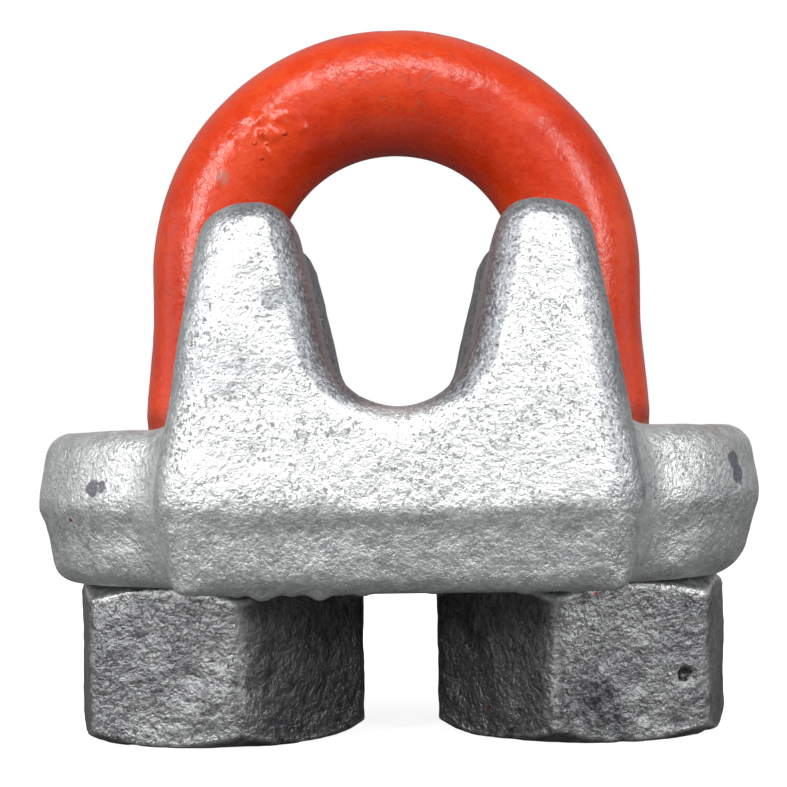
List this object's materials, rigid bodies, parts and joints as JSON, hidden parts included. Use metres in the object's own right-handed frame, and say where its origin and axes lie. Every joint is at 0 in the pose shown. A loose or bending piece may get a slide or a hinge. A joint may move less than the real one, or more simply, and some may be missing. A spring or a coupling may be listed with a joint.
{
  "type": "wire rope clip",
  "caption": "Forged wire rope clip: a U-bolt and two hexagon nuts draw two strands of rope together against a grooved saddle with tapered horns.",
  "frame": {"origin": "on the axis of the live rope's seat in the saddle, midway along the saddle", "axes": "+Y along the ropes, +X across the two legs of the U-bolt, +Z from the nuts towards the bow"},
  "size_m": [0.06, 0.0486, 0.0578],
  "materials": {
    "forged_zinc": "bright hot-dip zinc, mottled, over forged steel",
    "red_enamel": "glossy orange-red enamel over forged steel, bare at the threads",
    "nut_zinc": "dull grey hot-dip zinc over steel"
  },
  "bodies": {
    "saddle": {"saddle": "forged_zinc"},
    "u_bolt": {"u_bolt": "red_enamel"},
    "nut_left": {"nut_left": "nut_zinc"},
    "nut_right": {"nut_right": "nut_zinc"}
  },
  "joints": [
    {"name": "u_bolt_slide", "type": "slide", "parent": "saddle", "child": "u_bolt", "axis": [0, 0, 1], "range_m": [-0.01075, 0.00586]},
    {"name": "nut_left_spin", "type": "hinge", "parent": "saddle", "child": "nut_left", "pos_m": [-0.0151, 0, -0.0256], "axis": [0, 0, 1], "range_deg": [-1080, 1980]},
    {"name": "nut_right_spin", "type": "hinge", "parent": "saddle", "child": "nut_right", "pos_m": [0.0151, 0, -0.0256], "axis": [0, 0, 1], "range_deg": [-1080, 1980]}
  ],
  "couplings": [
    {"joint": "nut_left_spin", "follows": "u_bolt_slide", "rad_per_m": -3215.8},
    {"joint": "nut_right_spin", "follows": "u_bolt_slide", "rad_per_m": -3215.8}
  ]
}
